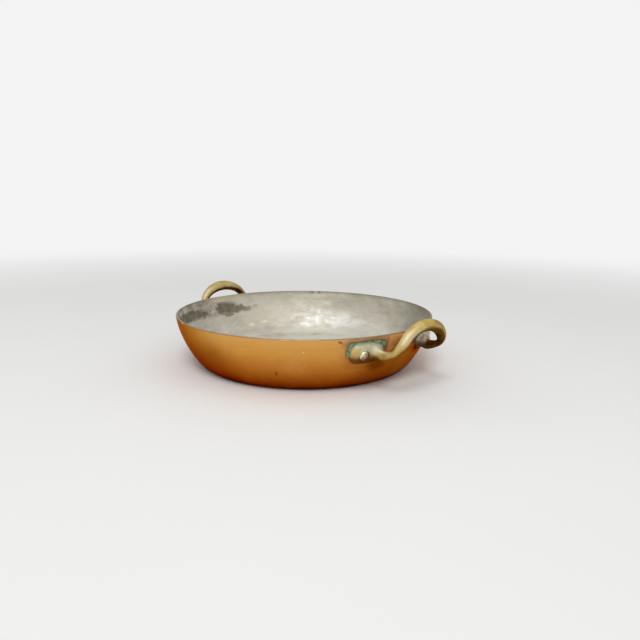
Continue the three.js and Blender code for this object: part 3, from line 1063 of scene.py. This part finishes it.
def tin_material():
    s = WallShader("wiped_tin")
    floor = s.step(s.z, 9 * MM, 3 * MM)
    wipes = tin_wipes(s, floor)
    stain = s.spots(TIN_STAIN)
    tin_tones(s, floor, wipes)
    tin_tarnish(s, wipes, stain)
    roughness = s.plus(s.times(s.noise(8 * MM, 5), 0.2), s.times(wipes, -0.3), 0.64, s.times(stain, 0.1))
    bumps = s.bump(wipes, 0.03 * MM)
    bumps = s.bump(s.noise(6 * MM, 5), 0.06 * MM, bumps)
    return s.finish(0.8, roughness, bumps)


# Brass


def brass_tones(s):
    s.colour = s.ramp(s.noise(11 * MM, 5), [
        (0.32, srgb(186, 160, 88)),
        (0.50, srgb(202, 176, 104)),
        (0.68, srgb(216, 194, 132)),
    ])
    s.lay(srgb(156, 122, 66), s.blotches(3 * MM, 0.56, 0.74, detail=5), 0.25)


def loop_highlight_and_shade(s, normal, off_pad):
    """The loops: a painted highlight pales them outside at the front, and painted shade browns them below,
    inside, on the shoulders and at the back.
    """
    signs = s.join(s.math("SIGN", s.x), s.math("SIGN", s.y), 1)
    folded_normal = s.vector("MULTIPLY", normal, signs)
    to_middle = s.vector("SUBTRACT", LOOP_MIDDLE, s.vector("MULTIPLY", s.place, signs))
    inward = s.vector("DOT_PRODUCT", folded_normal, s.vector("NORMALIZE", to_middle))
    on_left = s.step(s.x, 0, -1 * MM)

    # Painted highlight: the outside of the crown is paler at the front
    crown = s.band(s.plus(s.z, s.stray(9 * MM, 3 * MM)), 42 * MM, 50 * MM, 57 * MM, 62 * MM)
    crown_highlight = s.times(crown, s.step(inward, 0.1, -0.5), s.at_front())
    s.lay(srgb(214, 202, 172), crown_highlight, 0.65)
    s.lay(srgb(168, 158, 132), on_left, 0.38)
    # Painted shade on faces turned down
    under = s.step(s.plus(s.split(normal)[2], s.stray(7 * MM, 0.15)), -0.1, -0.7)
    s.lay(srgb(122, 84, 26), under, 0.8)
    # Painted shade on the inner side of the back arms, below the crown
    back_arm_shade = s.times(
        s.step(s.plus(s.y, s.stray(8 * MM, 2 * MM)), 8 * MM, 20 * MM),
        s.step(s.z, PAN_HEIGHT + 10 * MM, PAN_HEIGHT + 1 * MM))
    s.lay(srgb(116, 76, 30), back_arm_shade, s.step(inward, -0.85, -0.1), 0.6)
    # Painted shade on faces turned out to the side at the back
    shoulder_shade = s.step(s.vector("DOT_PRODUCT", folded_normal, SHADED_SHOULDER_FACES), 0.35, 0.95)
    s.lay(srgb(124, 88, 38), shoulder_shade, s.step(s.y, 0, 12 * MM), 0.6)
    # Painted shade on faces turned down and in toward the loop's middle, off the pads
    sheltered_shade = s.step(s.vector("DOT_PRODUCT", folded_normal, SHADED_INNER_FACES), 0.02, 0.4)
    s.lay(srgb(100, 58, 14), sheltered_shade, off_pad, 0.8)
    # Painted shade on the insides of the loops
    inside = s.plus(inward, s.times(back_arm_shade, 0.25), s.times(on_left, -0.22), s.stray(6 * MM, 0.1))
    dark = s.over(srgb(66, 32, 8), srgb(104, 74, 40), s.blotches(5 * MM, 0.4, 0.65))
    s.lay(dark, s.step(inside, 0.22, 0.52), 0.9)


def pad_wear_and_shade(s, normal, on_pad, off_pad):
    """The pads: bare at the tips, dark below with painted shade, and under a grey film above, with green
    edges; painted shade on the back pads' inner ends and a painted shadow with grime beside each rivet.

    Returns how far the film and the verdigris hide the brass.
    """
    bare = s.step(s.plus(s.round, s.stray(5 * MM, 1.5 * MM)), RIVET_ALONG + 3 * MM, RIVET_ALONG + 7 * MM)
    s.lay(srgb(224, 184, 120), bare, on_pad, 0.7)
    # Painted shade on the pads' lower parts, weaker toward the neck
    low = s.step(s.plus(s.up, s.stray(6 * MM, 1.5 * MM)), -0.5 * MM, -6 * MM)
    past_neck = s.plus(s.times(s.step(s.round, 24 * MM, 34 * MM), 0.65), 0.35)
    s.lay(srgb(102, 58, 16), s.times(low, past_neck), on_pad, 0.85)
    film = s.times(
        s.step(s.plus(s.up, s.stray(5 * MM, 1 * MM)), -2.5 * MM, 1.5 * MM),
        s.without(bare, s.step(s.up, 7 * MM, 4 * MM)))
    grey = s.over(srgb(186, 188, 164), srgb(214, 208, 188), s.blotches(4 * MM, 0.35, 0.6, detail=4))
    s.lay(grey, film, on_pad, 0.8)
    s.lay(srgb(132, 136, 112), s.step(s.up, 5.5 * MM, 8.5 * MM), on_pad, 0.6)
    # Painted shade, blotchy brown, on the inner ends of the back pads
    back_pad_shade = s.times(s.at_back(), s.step(s.round, 46 * MM, 34 * MM), s.blotches(5 * MM, 0.3, 0.55))
    s.lay(srgb(112, 86, 68), back_pad_shade, on_pad, 0.75)
    on_neck = s.times(
        s.step(s.plus(s.reach, s.stray(4 * MM, 1 * MM)), RIM_RADIUS + 15 * MM, RIM_RADIUS + 9 * MM),
        s.step(s.z, PAN_HEIGHT - 7 * MM, PAN_HEIGHT - 10 * MM),
        s.step(s.split(normal)[2], 0.15, 0.7),
        s.at_front())
    s.lay(srgb(208, 204, 174), on_neck, off_pad, 0.6)
    rind = s.times(s.step(s.around_pad(0, 0, 2.6, 0.08, 4 * MM), 0.84, 0.96), s.verdigris_share())
    s.lay(srgb(126, 156, 128), rind, on_pad, s.step(s.up, -4 * MM, 0), 0.8)
    # Painted shadow of the rivet head on the side away from the tip, with some grime
    rivet_shadow_and_grime = s.times(s.step(s.from_rivet(), 5.6 * MM, 4.6 * MM), s.step(s.toward_tip(), 2 * MM, -1 * MM))
    s.lay(srgb(64, 44, 22), rivet_shadow_and_grime, on_pad, 0.85)
    return s.plus(s.times(film, 0.3), s.times(rind, 0.3))


def brass_material():
    s = WallShader("cast_brass")
    normal = s.node("ShaderNodeNewGeometry").outputs["Normal"]
    on_pad = s.step(s.plus(s.reach, s.stray(4 * MM, 1 * MM)), RIM_RADIUS + 7 * MM, RIM_RADIUS + 4 * MM)
    off_pad = s.without(on_pad)
    brass_tones(s)
    loop_highlight_and_shade(s, normal, off_pad)
    hidden = pad_wear_and_shade(s, normal, on_pad, off_pad)
    roughness = s.plus(s.times(s.noise(5 * MM, 4), 0.25), 0.48)
    bumps = s.bump(s.noise(0.9 * MM, 3), 0.025 * MM)
    return s.finish(s.without(on_pad, hidden), roughness, bumps, edge=srgb(228, 212, 172))


def rivet_material():
    """Copper, pale on the side toward the pad's tip, a painted highlight over a little mint patina, and
    dark on the other, painted shade.
    """
    s = WallShader("rivet_copper")
    s.colour = s.ramp(s.noise(3 * MM, 3), [
        (0.35, srgb(146, 108, 76)),
        (0.50, srgb(168, 132, 98)),
        (0.65, srgb(188, 156, 122)),
    ])
    lean = s.plus(s.toward_tip(), s.stray(3 * MM, 0.4 * MM))
    # Painted shade on the side away from the pad's tip
    s.lay(srgb(80, 48, 22), s.step(lean, -0.6 * MM, -2.8 * MM), 0.88)
    # Painted highlight over a little pale patina, on the side toward the tip
    tarnish = s.step(lean, 0.6 * MM, 1.9 * MM)
    s.lay(srgb(216, 228, 200), tarnish, 0.9)
    roughness = s.plus(s.times(s.noise(1.5 * MM, 3), 0.15), 0.18)
    return s.finish(s.without(tarnish, 0.35), roughness, s.bump(s.noise(0.8 * MM, 3), 0.02 * MM))


# The studio


def seen(s):
    """1 for what the camera sees itself, in a reflection or through glass, and 0 for what only lights."""
    path = s.node("ShaderNodeLightPath").outputs
    return s.most(path["Is Camera Ray"], path["Is Glossy Ray"], path["Is Transmission Ray"])


def floor_material():
    """Pale and matt near the pan, where its shadow lies, and like the background further out."""
    s = Shader(bpy.data.materials.new("pale_floor"))
    matt = s.node("ShaderNodeBsdfDiffuse")
    s.put(matt.inputs["Color"], s.over(*FLOOR_COLOURS, s.noise(FLOOR_PATCH)))
    glow = s.node("ShaderNodeEmission")
    glow.inputs["Strength"].default_value = BACKGROUND
    far = s.step(s.vector("LENGTH", s.place), *FLOOR_FADE)
    blend = s.node("ShaderNodeMixShader")
    shader = s.fed(blend, (s.times(far, seen(s)), matt.outputs[0], glow.outputs[0]))
    s.put(s.node("ShaderNodeOutputMaterial").inputs["Surface"], shader)
    return s.owner


def make_floor():
    corners = [(x * FLOOR_REACH, y * FLOOR_REACH, 0) for x, y in ((-1, -1), (1, -1), (1, 1), (-1, 1))]
    floor = make_piece("floor", corners, [(0, 1, 2, 3)], smooth=False)
    floor.data.materials.append(floor_material())


def make_world():
    world = bpy.data.worlds.new("studio")
    bpy.context.scene.world = world
    s = Shader(world)
    sky = s.node("ShaderNodeBackground")
    sky.inputs["Color"].default_value = (1, 1, 1, 1)
    s.put(sky.inputs["Strength"], s.plus(s.times(seen(s), BACKGROUND - WORLD_LIGHT), WORLD_LIGHT))
    s.put(s.node("ShaderNodeOutputWorld").inputs["Surface"], sky.outputs[0])


def make_light():
    """One square soft light that looks at the pan."""
    lamp = bpy.data.lights.new("key", "AREA")
    lamp.size = LIGHT_SIZE
    lamp.energy = LIGHT_POWER
    light = bpy.data.objects.new("key", lamp)
    level = math.cos(LIGHT_ELEVATION)
    light.location = LIGHT_DISTANCE * Vector((
        math.sin(LIGHT_AZIMUTH) * level, -math.cos(LIGHT_AZIMUTH) * level, math.sin(LIGHT_ELEVATION)))
    light.rotation_mode = "QUATERNION"
    light.rotation_quaternion = (-light.location).to_track_quat("-Z", "Y")
    bpy.context.scene.collection.objects.link(light)


def make_camera():
    """The camera stands at its azimuth and elevation from the pan's middle, and has its own aim."""
    lens = bpy.data.cameras.new("camera")
    lens.sensor_width = SENSOR_WIDTH
    lens.lens = FOCAL_LENGTH
    camera = bpy.data.objects.new("camera", lens)
    ahead, aside = math.cos(VIEW_HEADING), math.sin(VIEW_HEADING)
    forward = Vector((aside * math.cos(VIEW_PITCH), ahead * math.cos(VIEW_PITCH), -math.sin(VIEW_PITCH)))
    level = Vector((ahead, -aside, 0))
    down = forward.cross(level)
    right = level * math.cos(VIEW_ROLL) + down * math.sin(VIEW_ROLL)
    lower = down * math.cos(VIEW_ROLL) - level * math.sin(VIEW_ROLL)
    axes = Matrix((right, -lower, -forward)).transposed().to_4x4()
    place = Vector((0, -math.cos(VIEW_ELEVATION), math.sin(VIEW_ELEVATION))) * VIEW_DISTANCE
    camera.matrix_world = Matrix.Rotation(VIEW_AZIMUTH, 4, "Z") @ Matrix.Translation(place) @ axes
    bpy.context.scene.collection.objects.link(camera)
    bpy.context.scene.camera = camera


def main():
    make_camera()
    make_floor()
    make_world()
    make_light()

    finish_piece(make_shell(), "pan_body", copper_material())
    finish_piece(revolve("tin_wash", tin_profile, PAN_SEGMENTS), "tin_lining", tin_material())
    brass = brass_material()
    rivet_metal = rivet_material()
    cast = cast_handle_mesh()
    for side, turn in (("right", 0.0), ("left", math.pi)):
        finish_piece(make_handle(side, cast, turn), f"handle_{side}", brass)
        for hand_name, hand in (("front", -1), ("back", 1)):
            rivet = make_rivet(side, turn, hand_name, hand)
            finish_piece(rivet, f"rivet_{side}_{hand_name}", rivet_metal)
    bpy.data.meshes.remove(cast)

    bpy.context.scene.view_settings.view_transform = "Standard"


main()
